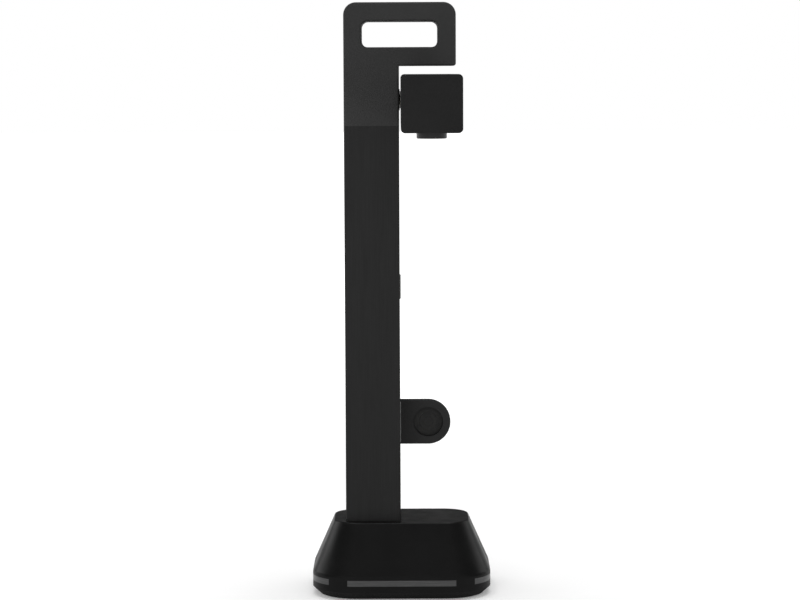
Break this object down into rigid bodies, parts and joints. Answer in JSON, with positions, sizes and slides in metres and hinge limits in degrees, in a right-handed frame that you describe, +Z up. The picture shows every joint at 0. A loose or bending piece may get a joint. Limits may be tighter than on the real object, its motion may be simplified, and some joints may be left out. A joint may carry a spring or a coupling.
{
  "type": "overhead document scanner",
  "caption": "Overhead document scanner: weighted base, square column with a carrying handle, and a camera arm that folds down beside the column on a friction pivot.",
  "frame": {"origin": "on the desk, under the middle of the base", "axes": "+Z up, -Y the way the camera arm reaches, +X to the right as seen from where the arm points"},
  "size_m": [0.1042, 0.2489, 0.345],
  "materials": {
    "black_plastic": "satin",
    "gloss_black_plastic": "satin",
    "black_aluminium": "satin",
    "silver_trim": "satin",
    "soft_rubber": "matte",
    "iron": "matte",
    "steel": "satin",
    "black_steel": "satin",
    "bright_steel": "gloss",
    "circuit_board": "satin",
    "pale_plastic": "satin",
    "frosted_plastic": "matte",
    "cable_jacket": "satin",
    "clear_glass": "polished",
    "sensor_glass": "gloss"
  },
  "bodies": {
    "base": {"anti_slip_pad": "soft_rubber", "base_tray": "black_plastic", "base_tray_screws": "steel", "ballast_plate": "iron", "base_shell": "gloss_black_plastic", "front_trim_strip": "silver_trim", "left_trim_strip": "silver_trim", "right_trim_strip": "silver_trim", "main_board": "circuit_board", "main_board_screws": "steel", "usb_socket": "bright_steel", "cable_header": "pale_plastic", "column_foot": "black_plastic", "column_foot_screws": "steel", "column_screws": "steel", "column_tube": "black_aluminium", "column_cable": "cable_jacket", "button_frame": "black_plastic", "button_board": "circuit_board", "button_board_screws": "steel", "tact_switch": "bright_steel", "lens_rest": "black_plastic", "lens_rest_pad": "soft_rubber", "lens_rest_screws": "black_steel", "handle_front_shell": "black_plastic", "handle_rear_shell": "black_plastic", "handle_screws": "black_steel", "hinge_bracket": "steel", "hinge_bracket_screws": "black_steel", "pivot_bush": "black_plastic"},
    "button": {"light_button": "gloss_black_plastic", "switch_plunger": "black_plastic"},
    "arm": {"arm_shell": "black_plastic", "arm_bottom_cover": "black_plastic", "arm_cover_screws": "black_steel", "pivot_shaft": "steel", "thrust_washer": "pale_plastic", "spring_washer": "steel", "pivot_nut": "steel", "hub_screws": "steel", "lens_bezel": "gloss_black_plastic", "lens_window": "clear_glass", "lens_barrel": "black_aluminium", "front_lens": "clear_glass", "rear_lens": "clear_glass", "image_sensor": "sensor_glass", "lens_holder": "black_plastic", "camera_board": "circuit_board", "camera_board_screws": "steel", "led_board": "circuit_board", "led_chips": "pale_plastic", "led_diffuser": "frosted_plastic", "led_board_screws": "steel", "arm_cable": "cable_jacket"}
  },
  "joints": [
    {"name": "arm_fold", "type": "hinge", "parent": "base", "child": "arm", "pos_m": [0, 0, 0.2887], "axis": [1, 0, 0], "range_deg": [0, 90]},
    {"name": "light_button_press", "type": "slide", "parent": "base", "child": "button", "axis": [-1, 0, 0], "range_m": [0, 0.0005], "stiffness_N_per_m": 1200, "springref_m": -0.0004}
  ]
}
